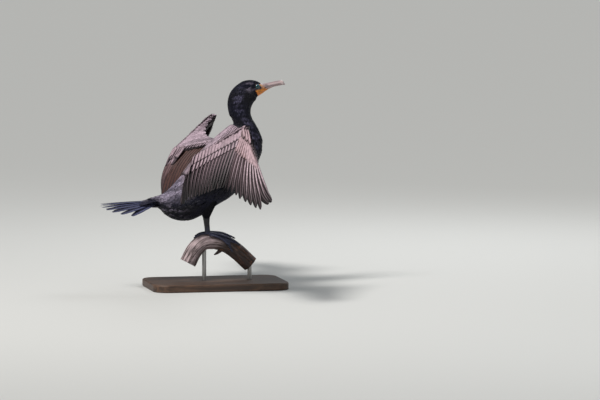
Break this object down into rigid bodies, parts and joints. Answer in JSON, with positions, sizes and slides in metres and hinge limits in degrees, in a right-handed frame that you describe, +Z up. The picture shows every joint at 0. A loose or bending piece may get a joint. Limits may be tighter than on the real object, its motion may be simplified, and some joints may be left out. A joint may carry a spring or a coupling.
{
  "type": "cormorant, still display model on a perch",
  "caption": "Life-size still model of a double-crested cormorant drying its half-open wings on a cut length of bent branch, on a rod stand.",
  "frame": {"origin": "middle of the underside of the stand's base, on the floor", "axes": "+Z up, +X the way the bird faces, +Y to its left, along the spread of its wings"},
  "size_m": [0.4496, 0.9696, 0.4978],
  "materials": {
    "plumage": "glossy black body feathers with a blue and violet sheen",
    "wing_feathers": "grey-brown wing feathers with dark edges and pale shafts",
    "tail_feathers": "stiff dark violet-black tail feathers with paler edges",
    "horn": "pinkish horn with a darker ridge",
    "bare_skin": "bare orange throat skin",
    "eye": "wet dark green-blue eye",
    "leg": "black scaled leg and web skin",
    "bark": "weathered wood with long cracks",
    "stand_wood": "dark oiled wood",
    "stand_metal": "satin steel"
  },
  "bodies": {
    "root": {"stand_base": "stand_wood", "stand_rod_1": "stand_metal", "stand_rod_2": "stand_metal", "perch": "bark", "torso": "plumage", "neck": "plumage", "head": "plumage", "tail": "tail_feathers", "bill_upper": "horn", "bill_lower": "horn", "throat_pouch": "bare_skin", "eye_left": "eye", "eye_right": "eye", "wing_left_upper_arm": "wing_feathers", "wing_left_forearm": "wing_feathers", "wing_left_hand": "wing_feathers", "wing_right_upper_arm": "wing_feathers", "wing_right_forearm": "wing_feathers", "wing_right_hand": "wing_feathers", "thigh_left": "plumage", "thigh_right": "plumage", "tarsus_left": "leg", "tarsus_right": "leg", "foot_left": "leg", "foot_right": "leg"}
  },
  "joints": []
}
